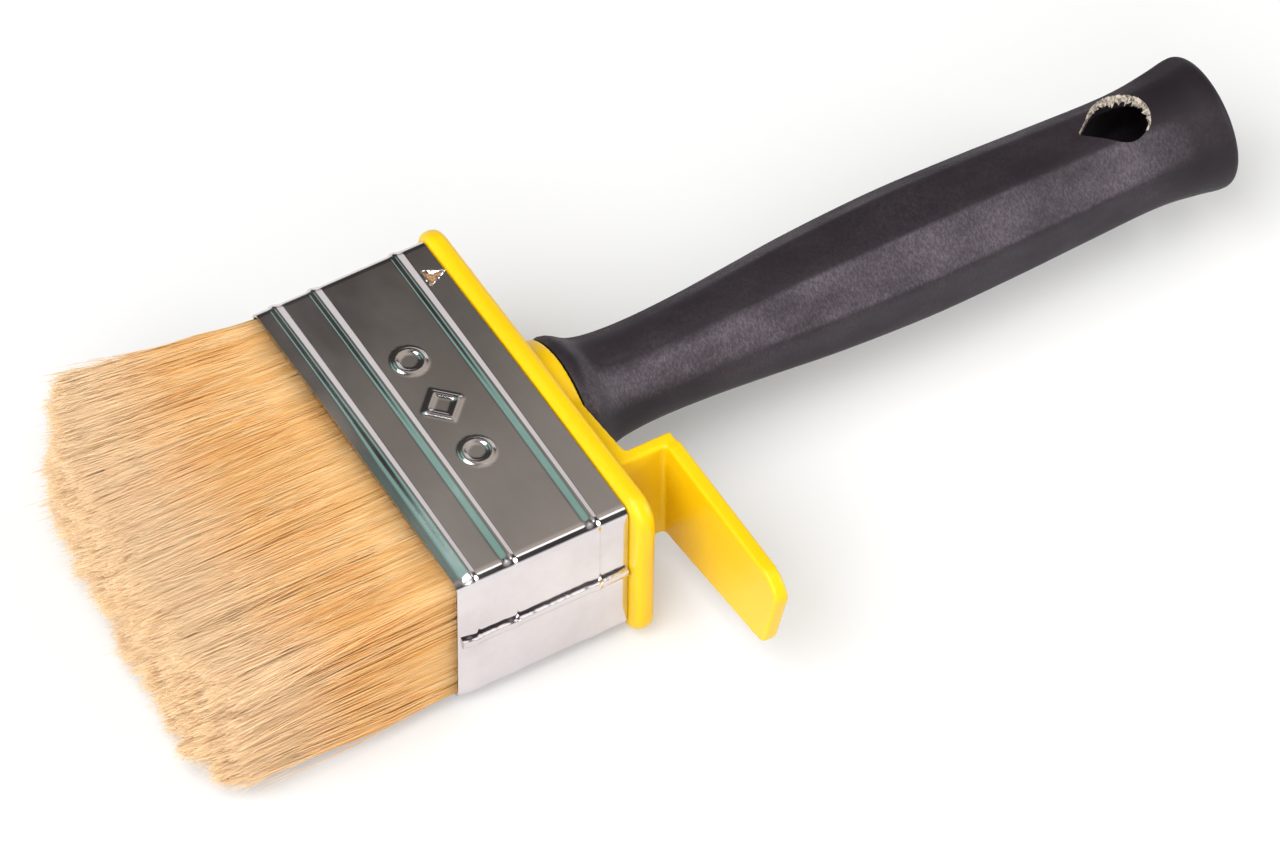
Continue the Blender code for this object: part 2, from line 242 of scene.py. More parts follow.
def noiseOn(tree, scale, stretch=(1, 1, 1), detail=4, roughness=0.55):
    texture = tree.nodes.new("ShaderNodeTexNoise")
    setInputs(texture, {"Scale": scale, "Detail": detail, "Roughness": roughness})
    tree.links.new(coordinates(tree, stretch), texture.inputs["Vector"])
    return texture.outputs["Fac"]


def rampOf(tree, value, stops):
    ramp = tree.nodes.new("ShaderNodeValToRGB")
    elements = ramp.color_ramp.elements
    while len(elements) < len(stops):
        elements.new(0.5)
    for element, (place, colour) in zip(elements, stops):
        element.position = place
        element.color = (*colour, 1) if isinstance(colour, tuple) else (colour,) * 3 + (1,)
    tree.links.new(value, ramp.inputs["Fac"])
    return ramp.outputs["Color"]


def attributeOf(tree, name):
    attribute = tree.nodes.new("ShaderNodeAttribute")
    attribute.attribute_name = name
    return attribute.outputs["Fac"]


def rangeOf(tree, value, low, high, fromLow=0.0, fromHigh=1.0):
    mapped = tree.nodes.new("ShaderNodeMapRange")
    setInputs(mapped, {"From Min": fromLow, "From Max": fromHigh, "To Min": low, "To Max": high})
    tree.links.new(value, mapped.inputs["Value"])
    return mapped.outputs["Result"]


def mixColours(tree, factor, a, b, blend="MIX"):
    mix = tree.nodes.new("ShaderNodeMix")
    mix.data_type = "RGBA"
    mix.blend_type = blend
    for socket, value in ((mix.inputs["Factor"], factor), (mix.inputs[6], a), (mix.inputs[7], b)):
        if isinstance(value, bpy.types.NodeSocket):
            tree.links.new(value, socket)
        elif isinstance(value, (int, float)):
            socket.default_value = value
        else:
            socket.default_value = (*value, 1)
    return mix.outputs[2]


def addBump(tree, shader, height, strength, distance):
    bump = tree.nodes.new("ShaderNodeBump")
    setInputs(bump, {"Strength": strength, "Distance": distance})
    tree.links.new(height, bump.inputs["Height"])
    tree.links.new(bump.outputs["Normal"], shader.inputs["Normal"])


def blackPlastic():
    # matt black moulding: smooth top and round parts; the sloping flats carry a painted sheen, greyer in
    # patches, with light specks that are part fine grain and part painted sheen
    finish, tree, shader = newFinish("blackPlastic", (0.035, 0.03, 0.035), 0.5)
    cloud = noiseOn(tree, 60, detail=3)
    base = rampOf(tree, cloud, [(0.3, (0.006, 0.003, 0.0056)), (0.7, (0.011, 0.007, 0.0104))])
    facing = tree.nodes.new("ShaderNodeNewGeometry")
    apart = tree.nodes.new("ShaderNodeSeparateXYZ")
    tree.links.new(facing.outputs["Normal"], apart.inputs["Vector"])
    steep = tree.nodes.new("ShaderNodeMath")
    steep.operation = "ABSOLUTE"
    tree.links.new(apart.outputs["Z"], steep.inputs[0])
    # painted sheen: only the flats that slope at about 45 degrees are painted lighter
    slope = rampOf(tree, steep.outputs["Value"], [(0.3, 0.3), (0.55, 1), (0.82, 1), (0.93, 0.16)])
    # the painted sheen fades out over the flared tail, which stays dark all round
    tailRange = [(mouthX + x) * mm for x in handleForm.tailRange]
    place = tree.nodes.new("ShaderNodeSeparateXYZ")
    tree.links.new(coordinates(tree), place.inputs["Vector"])
    tail = rangeOf(tree, place.outputs["X"], 1.0, 0.12, *tailRange)
    slope = mixColours(tree, 1.0, slope, tail, "MULTIPLY")
    grain = noiseOn(tree, 2600, stretch=(1.0, 0.5, 0.5), detail=5, roughness=0.8)
    patches = noiseOn(tree, 130, stretch=(0.6, 1, 1), detail=4)
    specks = rampOf(tree, grain, [(0.42, 0), (0.7, 1)])
    patchy = rampOf(tree, patches, [(0.35, 0.35), (0.65, 1)])
    patchySheen = mixColours(tree, 1.0, slope, patchy, "MULTIPLY")
    grainAndSheenSpecks = mixColours(tree, 1.0, specks, patchySheen, "MULTIPLY")
    # painted sheen: the sloping flats are painted greyer in patches, and light specks of the fine grain
    # are painted on them
    greyer = mixColours(tree, patchySheen, base, (0.043, 0.034, 0.043))
    coloured = mixColours(tree, grainAndSheenSpecks, greyer, (0.105, 0.09, 0.102))
    tree.links.new(coloured, shader.inputs["Base Color"])
    rough = tree.nodes.new("ShaderNodeMath")
    rough.operation = "MAXIMUM"
    tree.links.new(rangeOf(tree, grain, 0.44, 0.64, 0.3, 0.7), rough.inputs[0])
    tree.links.new(rangeOf(tree, apart.outputs["Y"], 0.4, 0.95, 0.3, 0.65), rough.inputs[1])
    tree.links.new(rough.outputs["Value"], shader.inputs["Roughness"])
    setInputs(shader, {"Specular IOR Level": 0.24})
    addBump(tree, shader, grain, 0.22, 0.00012)
    return finish


def yellowPlastic():
    # satin lemon yellow with a slight mould flow and tiny specks
    finish, tree, shader = newFinish("yellowPlastic", (1.0, 0.74, 0.0), 0.34)
    flow = noiseOn(tree, 45, stretch=(1, 0.4, 1), detail=3)
    tree.links.new(
        rampOf(tree, flow, [(0.25, (0.65, 0.39, 0.0)), (0.75, (0.71, 0.46, 0.001))]),
        shader.inputs["Base Color"],
    )
    fine = noiseOn(tree, 700, detail=3)
    tree.links.new(rangeOf(tree, fine, 0.26, 0.44), shader.inputs["Roughness"])
    setInputs(shader, {
        "Specular IOR Level": 0.3,
        "Subsurface Weight": 0.12,
        "Subsurface Radius": (1.0, 0.5, 0.05),
        "Subsurface Scale": 0.002,
    })
    addBump(tree, shader, fine, 0.12, 0.0001)
    return finish


def tinplate():
    # bright rolled tin: fine rolling lines round the band, small smears, a faint warm tint
    finish, tree, shader = newFinish("tinplate", (0.72, 0.67, 0.69), 0.13, 1.0)
    rolling = noiseOn(tree, 420, stretch=(1.0, 0.02, 0.02), detail=4)
    smear = noiseOn(tree, 70, stretch=(1, 0.5, 1), detail=5, roughness=0.6)
    tree.links.new(
        rampOf(tree, smear, [(0.3, (0.62, 0.575, 0.585)), (0.7, (0.74, 0.705, 0.72))]),
        shader.inputs["Base Color"],
    )
    tree.links.new(rangeOf(tree, smear, 0.08, 0.2, 0.3, 0.7), shader.inputs["Roughness"])
    addBump(tree, shader, rolling, 0.12, 0.00004)
    return finish


def bristleHair():
    # each strand has its own tone, golden streaks of painted shade between the clumps run in the middle
    # of its length, tips are pale
    finish, tree, shader = newFinish("bristleHair", (0.85, 0.55, 0.25), 0.45)
    tone, along = attributeOf(tree, "tone"), attributeOf(tree, "along")
    strand = rampOf(tree, tone, [
        (0.0, (0.76, 0.38, 0.09)),
        (0.2, (0.88, 0.52, 0.165)),
        (0.5, (0.93, 0.62, 0.26)),
        (0.8, (0.96, 0.71, 0.37)),
        (1.0, (0.98, 0.8, 0.5)),
    ])
    # painted shade: golden streaks along the strands stand in for the shadow between clumps
    streaks = noiseOn(tree, 1250, stretch=(0.1, 1, 1), detail=2)
    gold = rampOf(tree, streaks, [(0.52, 0), (0.7, 0.85)])
    middle = rampOf(tree, along, [(0.0, 0.25), (0.25, 0.8), (0.6, 0.7), (0.85, 0.0)])
    streakShade = mixColours(tree, 1.0, gold, middle, "MULTIPLY")
    streaked = mixColours(tree, streakShade, strand, (0.88, 0.47, 0.12))
    fade = rampOf(tree, along, [(0.0, 0.0), (0.5, 0.08), (0.8, 0.75), (1.0, 0.95)])
    paled = mixColours(tree, fade, streaked, (1.0, 0.83, 0.59))
    tree.links.new(paled, shader.inputs["Base Color"])
    setInputs(shader, {"Specular IOR Level": 0.3})
    # light passes through the thin strands
    glow = tree.nodes.new("ShaderNodeBsdfTranslucent")
    tree.links.new(paled, glow.inputs["Color"])
    blend = tree.nodes.new("ShaderNodeMixShader")
    setInputs(blend, {"Fac": 0.45})
    tree.links.new(shader.outputs["BSDF"], blend.inputs[1])
    tree.links.new(glow.outputs["BSDF"], blend.inputs[2])
    tree.links.new(blend.outputs["Shader"], tree.nodes["Material Output"].inputs["Surface"])
    return finish


def bristleHeart():
    # the packed bristle behind the outer strands: streaks along it, pale towards the tips
    finish, tree, shader = newFinish("bristleHeart", (0.7, 0.42, 0.16), 0.7)
    streaks = noiseOn(tree, 620, stretch=(0.05, 1, 1), detail=5, roughness=0.65)
    packed = rampOf(tree, streaks, [
        (0.3, (0.78, 0.44, 0.14)), (0.5, (0.9, 0.6, 0.25)), (0.68, (0.95, 0.7, 0.35)),
    ])
    fade = rangeOf(tree, attributeOf(tree, "along"), 0.0, 0.9, 0.4, 1.0)
    tree.links.new(mixColours(tree, fade, packed, (1.0, 0.8, 0.54)), shader.inputs["Base Color"])
    addBump(tree, shader, streaks, 0.45, 0.0003)
    return finish


smallFinishes = {
    "castResin": {
        "base": ((0.42, 0.27, 0.1), 0.28),
        "noise": (90, (1, 1, 1), 4),
        "colours": [(0.3, (0.3, 0.17, 0.05)), (0.7, (0.5, 0.33, 0.13))],
        "roughness": (0.2, 0.4),
    },
    "sawnWood": {
        "base": ((0.55, 0.4, 0.24), 0.75),
        "noise": (320, (1, 0.08, 1), 5),
        "colours": [(0.3, (0.4, 0.26, 0.13)), (0.7, (0.66, 0.5, 0.3))],
        "bump": (0.4, 0.0003),
    },
    "rustedEdge": {
        "base": ((0.3, 0.17, 0.08), 0.7, 0.3),
        "noise": (1400, (1, 1, 1), 4),
        "colours": [(0.35, (0.12, 0.06, 0.03)), (0.65, (0.55, 0.33, 0.16))],
        "bump": (0.5, 0.0003),
    },
    "paleFlash": {
        "base": ((0.5, 0.46, 0.38), 0.6),
        "noise": (1800, (1, 1, 1), 3),
        "colours": [(0.35, (0.05, 0.035, 0.025)), (0.62, (0.42, 0.37, 0.3))],
    },
}


def smallFinish(name):
    # the finishes of small and hidden pieces: one noise drives colour, gloss and bump
    form = smallFinishes[name]
    finish, tree, shader = newFinish(name, *form["base"])
    spots = noiseOn(tree, *form["noise"])
    tree.links.new(rampOf(tree, spots, form["colours"]), shader.inputs["Base Color"])
    if "roughness" in form:
        tree.links.new(rangeOf(tree, spots, *form["roughness"]), shader.inputs["Roughness"])
    if "bump" in form:
        addBump(tree, shader, spots, *form["bump"])
    return finish


handleForm = SimpleNamespace(
    axisY=0.8,
    axisZ=1.5,
    # place, half of the width across flats, how eight-sided
    stations=(
        (40.3, 11.8, 0.0), (41.6, 12.1, 0.0), (43.2, 11.4, 0.0), (45.2, 10.2, 0.0), (49.0, 9.3, 0.0),
        (56.0, 8.9, 0.0), (66.0, 9.2, 0.1), (78.0, 10.0, 0.55), (90.0, 10.8, 0.95), (108.0, 11.5, 1.0),
        (124.0, 11.3, 1.0), (140.0, 10.8, 0.95), (152.0, 10.6, 0.6), (158.0, 10.9, 0.25),
        (164.0, 11.7, 0.0), (168.0, 12.3, 0.0), (169.4, 11.8, 0.0), (170.0, 10.4, 0.0),
    ),
    wall=2.2,
    cavityEnd=163.0,
    cavityTaper=3.0,
    sides=128,
    step=1.0,
    # the rounded end is laid out more finely
    tailLength=2,
    tailStep=0.25,
    tailRange=(152, 162),  # where the painted sheen on the sloping flats fades out and the finish turns darker
    cornerBulge=0.062,
    holePoint=143.6,
    holeCentre=152.0,
    holeRadius=5.2,
)


def handleSize(x):
    # half of the width across flats, and how eight-sided the section is
    half, eightness = (curveThrough(handleForm.stations, x, column) for column in (1, 2))
    return half, min(max(eightness, 0.0), 1.0)


def handleRing(x, inset=0.0):
    form = handleForm
    half, eightness = handleSize(x)
    ring = []
    for k in range(form.sides):
        angle = 2 * math.pi * k / form.sides
        offFlat = (angle + math.pi / 8) % (math.pi / 4) - math.pi / 8
        bulge = 1 / math.cos(offFlat) - 1
        limit = form.cornerBulge
        soft = bulge * limit / (bulge**4 + limit**4) ** 0.25
        radius = half * (1 + eightness * soft) - inset
        y = form.axisY + radius * math.cos(angle)
        z = form.axisZ + radius * math.sin(angle)
        ring.append((x, y, z))
    return ring


def holeOutline(grow=0.0, steps=28):
    form = handleForm
    radius = form.holeRadius + grow
    reach = form.holeCentre - form.holePoint + grow * 1.6
    start = math.acos(radius / reach)
    outline = [(form.holeCentre - reach, form.axisY)]
    for k in range(steps + 1):
        angle = math.pi - start - (2 * math.pi - 2 * start) * k / steps
        outline.append((
            form.holeCentre + radius * math.cos(angle),
            form.axisY + radius * math.sin(angle),
        ))
    return outline


def makeHandle(plastic):
    form = handleForm
    first = form.stations[0][0]
    last = form.stations[-1][0]
    tail, fine = form.tailLength, form.tailStep
    places = [first + form.step * k for k in range(int((last - tail - first) / form.step) + 1)]
    places += [last - tail + fine * k for k in range(1, 8)] + [last]
    rings = []
    # the tail closes in two small steps, then the outside runs to the bell and back up the inside
    middle = (form.axisY, form.axisZ)
    for shrink, x in ((0.4, last), (0.8, last - 0.05)):
        rings.append([
            (x, middle[0] + (y - middle[0]) * shrink, middle[1] + (z - middle[1]) * shrink)
            for _, y, z in handleRing(last)
        ])
    rings += [handleRing(x) for x in reversed(places)]
    rings += [handleRing(x, form.wall) for x in places if x < form.cavityEnd]
    rings.append(handleRing(form.cavityEnd, form.wall + form.cavityTaper))
    handle = pieceFrom("handleShell", loft(rings), plastic)
    through = 20
    hole = prism(holeOutline(), "z", form.axisZ - through, form.axisZ + through)
    combine(handle, hole, "DIFFERENCE")
    smoothShade(handle, 50)
    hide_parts("handle")
    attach(handle, "brush")


def topOfHandle(x, y):
    # height of the outer skin above a point
    form = handleForm
    half, eightness = handleSize(x)
    across = y - form.axisY
    roundTop = math.sqrt(max(half * half - across * across, 0.0))
    flatTop = min(half, half * 1.5 - abs(across))
    return form.axisZ + roundTop * (1 - eightness) + flatTop * eightness


def tornLip(outline, centre, height, widest, drop, rng, closed=True):
    # a ragged lip round an opening: it stands a little proud and leans inwards by uneven amounts
    rows = []
    uneven = rng.random(len(outline))
    uneven = 0.12 + 0.88 * (0.6 * uneven + 0.4 * np.roll(uneven, 1)) ** 1.4
    for (x, y), share in zip(outline, uneven):
        edge = Vector((x, y, 0))
        inward = (Vector((*centre, 0)) - edge).normalized()
        top = height(x, y)
        lift = rng.uniform(0.05, 0.3) * widest(x, y)
        reach = share * widest(x, y)
        fallen = rng.uniform(0.5, 1.0) * drop
        rows.append([
            edge - inward * 0.25 + Vector((0, 0, top - 0.03)),
            edge - inward * 0.02 + Vector((0, 0, top + lift)),
            edge + inward * 0.1 + Vector((0, 0, top + lift * 0.8)),
            edge + inward * (0.1 + reach) + Vector((0, 0, top - fallen)),
            edge - inward * 0.15 + Vector((0, 0, top - drop)),
        ])
    return loft(rows, closed)


def spaced(corners, gap):
    # points every gap along a closed outline
    points = []
    for i, (x0, y0) in enumerate(corners):
        x1, y1 = corners[(i + 1) % len(corners)]
        count = max(1, round(math.hypot(x1 - x0, y1 - y0) / gap))
        points += [(x0 + (x1 - x0) * k / count, y0 + (y1 - y0) * k / count) for k in range(count)]
    return points


flashForm = SimpleNamespace(
    shift=0.6,
    lean=(0.6, 0.75),
    reach=(0.08, 1.7),
    spacing=0.26,
    drop=1.0,
    cleanSide=(3.2, 0.3),
    seed=41,
)


def makeHoleFlash(flash):
    # the pale torn edge of the pierced wall, widest on the far side and at the round end
    form = flashForm
    centre = (handleForm.holeCentre - form.shift, handleForm.axisY)
    leanX, leanY = form.lean
    least, most = form.reach
    cleanX, cleanY = form.cleanSide

    def widest(x, y):
        away = (leanY * (y - centre[1]) + leanX * (x - centre[0])) / 5
        return least + most * min(max(away + 0.05, 0.0), 1.0)

    def turnFromPoint(place):
        turn = math.atan2(place[1] - centre[1], place[0] - centre[0]) % (2 * math.pi)
        return (turn + 1.6) % (2 * math.pi)

    outline = spaced(holeOutline(0.03, 28), form.spacing)
    # the near side was cut clean, so the lip runs from the point round the far side to the end
    outline = [p for p in outline if p[1] > centre[1] + cleanY or p[0] > centre[0] + cleanX]
    outline.sort(key=turnFromPoint)
    rng = np.random.default_rng(form.seed)
    bm = tornLip(outline, centre, topOfHandle, widest, form.drop, rng, False)
    lip = pieceFrom("holeFlash", bm, flash)
    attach(lip, "brush")


headForm = SimpleNamespace(
    plateFront=32.9,
    plateBack=36.6,
    plateHalfWidth=38.1,
    plateHalfThickness=16.7,
    plateCorner=5.0,
    plateSag=0.6,
    plateRounding=1.5,
    plateShrink=0.018,
    plugHalves=(34.2, 14.2),
    plugCorner=2.0,
    plugStart=28.0,
    bossRadii=(12.3, 12.2),
    spigotRadii=(6.1, 5.5),
    spigotEnd=64.0,
    bossFace=40.0,
    padFace=39.6,
    armY=-23.0,
    hookThickness=2.5,
    hookInner=46.2,
    hookTop=13.3,
    hookRootBottom=-9.8,
    hookTipBottom=-5.6,
    hookTipY=-60.5,
    hookSlant=4.0,
    voxel=0.36,
    meltSteps=5,
)


def coneAlongX(x0, x1, radius0, radius1, sides=96):
    bm = bmesh.new()
    bmesh.ops.create_cone(
        bm, cap_ends=True, segments=sides, radius1=radius0, radius2=radius1, depth=x1 - x0
    )
    for vert in bm.verts:
        x, y, z = vert.co
        vert.co = ((x0 + x1) / 2 + z, handleForm.axisY + y, handleForm.axisZ + x)
    return bm


def bladeOutline():
    form = headForm
    root = form.armY - form.hookThickness / 2 + 0.8
    corners = [
        (form.hookTipY, form.hookTop - 3.2),
        (form.hookTipY + form.hookSlant, form.hookTipBottom),
        (root, form.hookRootBottom),
        (root, form.hookTop),
        (form.hookTipY + 3.2, form.hookTop),
    ]
    return roundCorners(corners, 2.0)


def padOutline():
    form = headForm
    far = form.armY - form.hookThickness / 2
    return [
        (handleForm.axisY, handleForm.axisZ + form.bossRadii[0] * 0.7),
        (far + 3.5, form.hookTop),
        (far, form.hookTop),
        (far, form.hookRootBottom),
        (far + 3.5, form.hookRootBottom),
        (handleForm.axisY, handleForm.axisZ - form.bossRadii[0] * 0.7),
    ]


def makeHead(plastic):
    form = headForm
    rings = []
    rounding = form.plateRounding
    for face, way in ((form.plateFront, 1), (form.plateBack, -1)):
        for k in range(7)[::way]:
            angle = math.radians(15 * k)
            inset = rounding * (1 - math.sin(angle))
            rings.append((face + way * rounding * (1 - math.cos(angle)), inset))
    outlines = []
    for x, inset in rings:
        halfY = form.plateHalfWidth - inset
        halfZ = form.plateHalfThickness - inset
        outline = roundedRectangle(halfY, halfZ, form.plateCorner - inset, 10)
        # the upper far corner sags a little
        sag = form.plateSag / (halfY * halfZ)
        outlines.append([
            (x, y - form.plateShrink * max(y, 0), z - sag * max(y, 0) * max(z, 0))
            for y, z in outline
        ])
    head = pieceFrom("headMoulding", loft(outlines), plastic)
    half = form.hookThickness / 2
    backOfBlade = form.hookInner + form.hookThickness
    low, high = form.hookRootBottom + 0.2, form.hookTop - 0.2
    arm = [(form.armY + side * half, z) for side, z in ((-1, low), (1, low), (1, high), (-1, high))]
    added = (
        prism(
            roundedRectangle(*form.plugHalves, form.plugCorner), "x",
            form.plugStart, form.plateFront + 1.0,
        ),
        coneAlongX(form.plateBack - 1.0, form.bossFace, *form.bossRadii),
        prism(padOutline(), "x", form.plateBack - 0.7, form.padFace),
        prism(arm, "x", form.plateBack - 0.5, backOfBlade - 0.2),
        prism(bladeOutline(), "x", form.hookInner, backOfBlade),
        coneAlongX(form.bossFace - 1.0, form.spigotEnd, *form.spigotRadii, 48),
    )
    for bm in added:
        combine(head, bm, "UNION")
    remesh = head.modifiers.new("remesh", "REMESH")
    remesh.mode = "VOXEL"
    remesh.voxel_size = form.voxel * mm
    melt = head.modifiers.new("melt", "SMOOTH")
    melt.factor = 0.5
    melt.iterations = form.meltSteps
    applyModifiers(head)
    head.data.shade_smooth()
    if not head.data.materials:
        head.data.materials.append(plastic)
    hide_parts("head_moulding")
    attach(head, "brush")


ferruleForm = SimpleNamespace(
    halfWidth=35.0,
    halfThickness=15.0,
    length=32.6,
    sheet=0.45,
    corner=1.8,
    camber=0.45,
    beads=(3.3, 10.8, 26.7),
    beadHeight=(0.3, 0.46),  # this and the next two: near end, far end
    beadRise=(2.1, 0.7),
    beadFall=(0.95, 2.0),
    mouthDroop=0.4,
    sideLoss=0.35,  # share of the beads' height that is lost on the narrow sides
    dent=0.07,
    ringStep=0.25,
    seamTop=0.6,
    seamHeight=2.1,
    seamProud=0.74,
    stakeX=30.7,
    stakeY=26.4,
    stakeSize=3.8,
    stakeLip=0.62,
    stakeDrop=0.4,
    pitGrow=1.12,
    pitDepth=(0.75, 0.42),
    markX=17.3,
    markPlaces=(11.6, 0.4, -11.2),
    markSize=2.5,
    markStroke=0.7,
    markHeight=0.27,
)


def easy(t):
    t = min(max(t, 0.0), 1.0)
    return t * t * (3 - 2 * t)


def beadHeight(x, y):
    # near the seam a long rise and a crisp fall, at the far end a short rise and a broad fall
    form = ferruleForm
    far = 0.5 + 0.5 * y / form.halfWidth
    height, rise, fall = (
        near + (end - near) * far for near, end in (form.beadHeight, form.beadRise, form.beadFall)
    )
    tallest = 0.0
    for place in form.beads:
        side = (x - place) / rise + 1 if x < place else 1 - (x - place) / fall
        tallest = max(tallest, easy(side))
    # the edge of the mouth is drawn in over the near half
    droop = form.mouthDroop * easy((0.7 - far) / 0.3) * max(1 - x / form.beads[0], 0.0)
    return height * tallest - droop


def markHeight(x, y):
    # plain pressed marks between the beads: ring, lozenge, ring
    form = ferruleForm
    highest = 0.0
    for number, place in enumerate(form.markPlaces):
        dx, dy = x - form.markX, y - place
        if number == 1:
            away = abs((abs(dx) + abs(dy)) - form.markSize * 1.25) / 1.41
        else:
            away = abs(math.hypot(dx, dy) - form.markSize)
        highest = max(highest, easy(1.15 - away / form.markStroke))
    return form.markHeight * highest


def ferruleRing(x, inset):
    form = ferruleForm
    outline = roundedRectangle(
        form.halfWidth, form.halfThickness, form.corner, 8, (150, 24), normals=True
    )
    ring = []
    for y, z, ny, nz in outline:
        out = beadHeight(x, y) * (1 - form.sideLoss * abs(ny)) - inset
        if nz > 0.99:
            out += markHeight(x, y)
        camber = form.camber * (1 - (y / form.halfWidth) ** 2) * nz
        dent = form.dent * noise.noise(Vector((x * 0.05, y * 0.055, z * 0.06 + 3.0)))
        ring.append((x, y + (out + dent) * ny, z + (out + dent) * nz + camber))
    return ring


def makeFerrule(tin):
    form = ferruleForm
    steps = int(form.length / form.ringStep)
    places = [form.length * k / steps for k in range(steps + 1)]
    inside = [form.length * k / 12 for k in range(13)]
    rings = [ferruleRing(x, 0.0) for x in places]
    rings += [ferruleRing(x, form.sheet) for x in reversed(inside)]
    ferrule = pieceFrom("ferruleBand", loft(rings, closed=True), tin)
    half = form.stakeSize / 2
    triangle = [
        (form.stakeX - half, form.stakeY - half),
        (form.stakeX + half, form.stakeY),
        (form.stakeX - half, form.stakeY + half),
    ]
    top = form.halfThickness
    combine(ferrule, prism(triangle, "z", top - 0.8, top + 1.6), "DIFFERENCE")
    smoothShade(ferrule, 40)
    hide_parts("ferrule")
    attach(ferrule, "brush")
    return triangle


def makeSeam(tin):
    # the folded lock: a proud strip with a square upper lip and a rolled lower edge
    form = ferruleForm
    side = -form.halfWidth
    top, low, proud = form.seamTop, form.seamTop - form.seamHeight, form.seamProud
    profile = [
        (0.25, top), (-proud + 0.1, top + 0.02), (-proud - 0.02, top - 0.06), (-proud - 0.06, top - 0.2),
        (-proud - 0.04, top - 0.7), (-proud + 0.08, low + 0.75), (-proud + 0.18, low + 0.42),
        (-proud + 0.36, low + 0.16), (-0.2, low + 0.02), (-0.05, low - 0.02), (0.25, low - 0.02),
    ]
    rings = []
    steps = 128
    for k in range(steps + 1):
        x = 0.75 + (form.length - 0.95) * k / steps
        out = beadHeight(x, side) * (1 - form.sideLoss)
        ripple = 0.03 * math.sin(x * 1.3) + 0.02 * math.sin(x * 3.1)
        rings.append([(x, side - out + y, z + ripple) for y, z in profile])
    seam = pieceFrom("lockSeam", loft(rings), tin)
    smoothShade(seam, 40)
    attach(seam, "brush")


def makeStake(triangle, tin, rust):
    # torn lips round the pierced triangle, over a rusty bottom
    form = ferruleForm
    top = form.halfThickness + form.camber * (1 - (form.stakeY / form.halfWidth) ** 2)
    centre = (form.stakeX - 0.4, form.stakeY)
    rng = np.random.default_rng(7)
    lip = spaced(triangle, 0.38)
    bm = tornLip(lip, centre, lambda x, y: top, lambda x, y: form.stakeLip, form.stakeDrop, rng)
    burr = pieceFrom("stakeBurr", bm, tin)
    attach(burr, "brush")
    grow = form.pitGrow
    bottom, surface = (top - depth for depth in form.pitDepth)
    wide = [tuple(c + (v - c) * grow for v, c in zip(point, centre)) for point in triangle]
    pit = pieceFrom("stakePit", prism(wide, "z", bottom, surface), rust)
    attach(pit, "brush")


bristleForm = SimpleNamespace(
    mouthHalfWidth=34.3,
    mouthHalfThickness=14.25,
    # how far a strand from this side of the mouth has spread at its tip
    spreadFar=1.145,
    spreadNear=0.995,
    spreadUp=0.965,
    spreadDown=0.925,
    # place across the mouth, reach of the tips
    reach=(
        (-34.3, 40.4), (-31.0, 43.3), (-24.0, 45.5), (-10.0, 44.6), (3.0, 43.5),
        (16.0, 42.4), (25.0, 40.8), (30.0, 38.6), (34.3, 35.0),
    ),
    topDome=1.3,
    bottomDome=1.5,
    rootX=1.2,
    rings=7,
    rootRadius=0.13,
    tipRadius=0.045,
    # clumps of strands lean together, by these spreads in millimetres
    clumps=420,
    clumpDrift=0.5,
    clumpReach=0.95,
    clumpPull=(0.08, 0.46),
    tipScatter=0.8,
    bend=0.55,
    looseShare=0.17,
    looseBend=2.6,
    wave=0.22,
    brokenShare=0.06,
    brokenLoss=(1, 6),
    # shares of the strands set close to the top, bottom, near and far faces
    closeShares=(0.72, 0.5, 0.16, 0.1),
    faceDepth=0.75,
    sideDepth=1.0,
    mouthCorner=1.6,
    rows={
        "bristlesTopFar": ("bristle_row_top", 4.75, 14.25, 0.0, 34.3, 4600),
        "bristlesTopNear": ("bristle_row_top", 4.75, 14.25, -34.3, 0.0, 4600),
        "bristlesMiddle": ("bristle_row_middle", -4.65, 4.65, -34.3, 34.3, 4600),
        "bristlesBottom": ("bristle_row_bottom", -14.25, -4.75, -34.3, 34.3, 4600),
    },
    strays=110,
    strayRadius=0.08,
    straySweep=3.4,
    flags=8000,
    flagRadius=0.095,
    flagFan=0.65,
    innerTips=11000,
    innerRadii=(0.12, 0.2),
    # how far the middle stays behind the strands: side, face, tip, and its hollow end
    heartInset=(0.6, 0.5, 3.6, 4.5),
)


def tipReach(y, z):
    # how far the tips reach, from where the strand leaves the ferrule
    form = bristleForm
    w = z / form.mouthHalfThickness
    places, reach = zip(*form.reach)
    dome = np.where(w > 0, form.topDome * np.abs(w) ** 3, form.bottomDome * np.abs(w) ** 3)
    return np.interp(y, places, reach) - dome


def spreadAt(y, z, s):
    # where a strand set at (y, z) has got to, at a share s of its length
    form = bristleForm
    wide = np.where(y > 0, form.spreadFar, form.spreadNear)
    high = np.where(z > 0, form.spreadUp, form.spreadDown)
    return y * (1 + (wide - 1) * s**1.1), z * (1 + (high - 1) * s**1.4)


